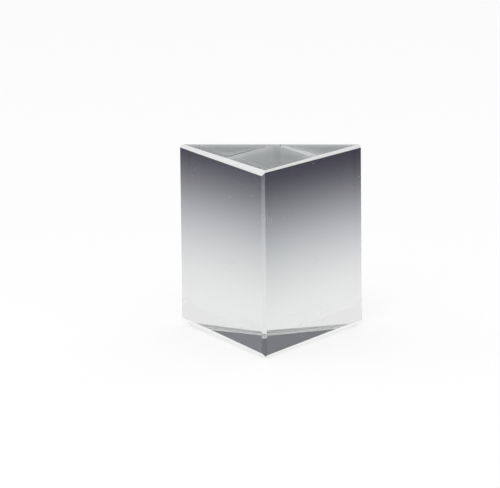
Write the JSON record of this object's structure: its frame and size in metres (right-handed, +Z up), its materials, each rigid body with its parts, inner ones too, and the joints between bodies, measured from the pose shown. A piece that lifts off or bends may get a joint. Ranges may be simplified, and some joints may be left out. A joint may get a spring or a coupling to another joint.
{
  "type": "triangular prism",
  "caption": "Equilateral triangular prism of clear optical glass, polished on its sides and ends, with ground edges, that stands on one end and bends or disperses light.",
  "frame": {"origin": "middle of the lower triangular end, on the axis of the prism", "axes": "+Z up the length of the prism, towards the upper end; the front upright edge points to -Y and the back side face looks to +Y"},
  "size_m": [0.0492, 0.0425, 0.05],
  "materials": {
    "optical_glass": "polished, with fine-ground edges"
  },
  "bodies": {
    "root": {"glass_prism": "optical_glass"}
  },
  "joints": []
}
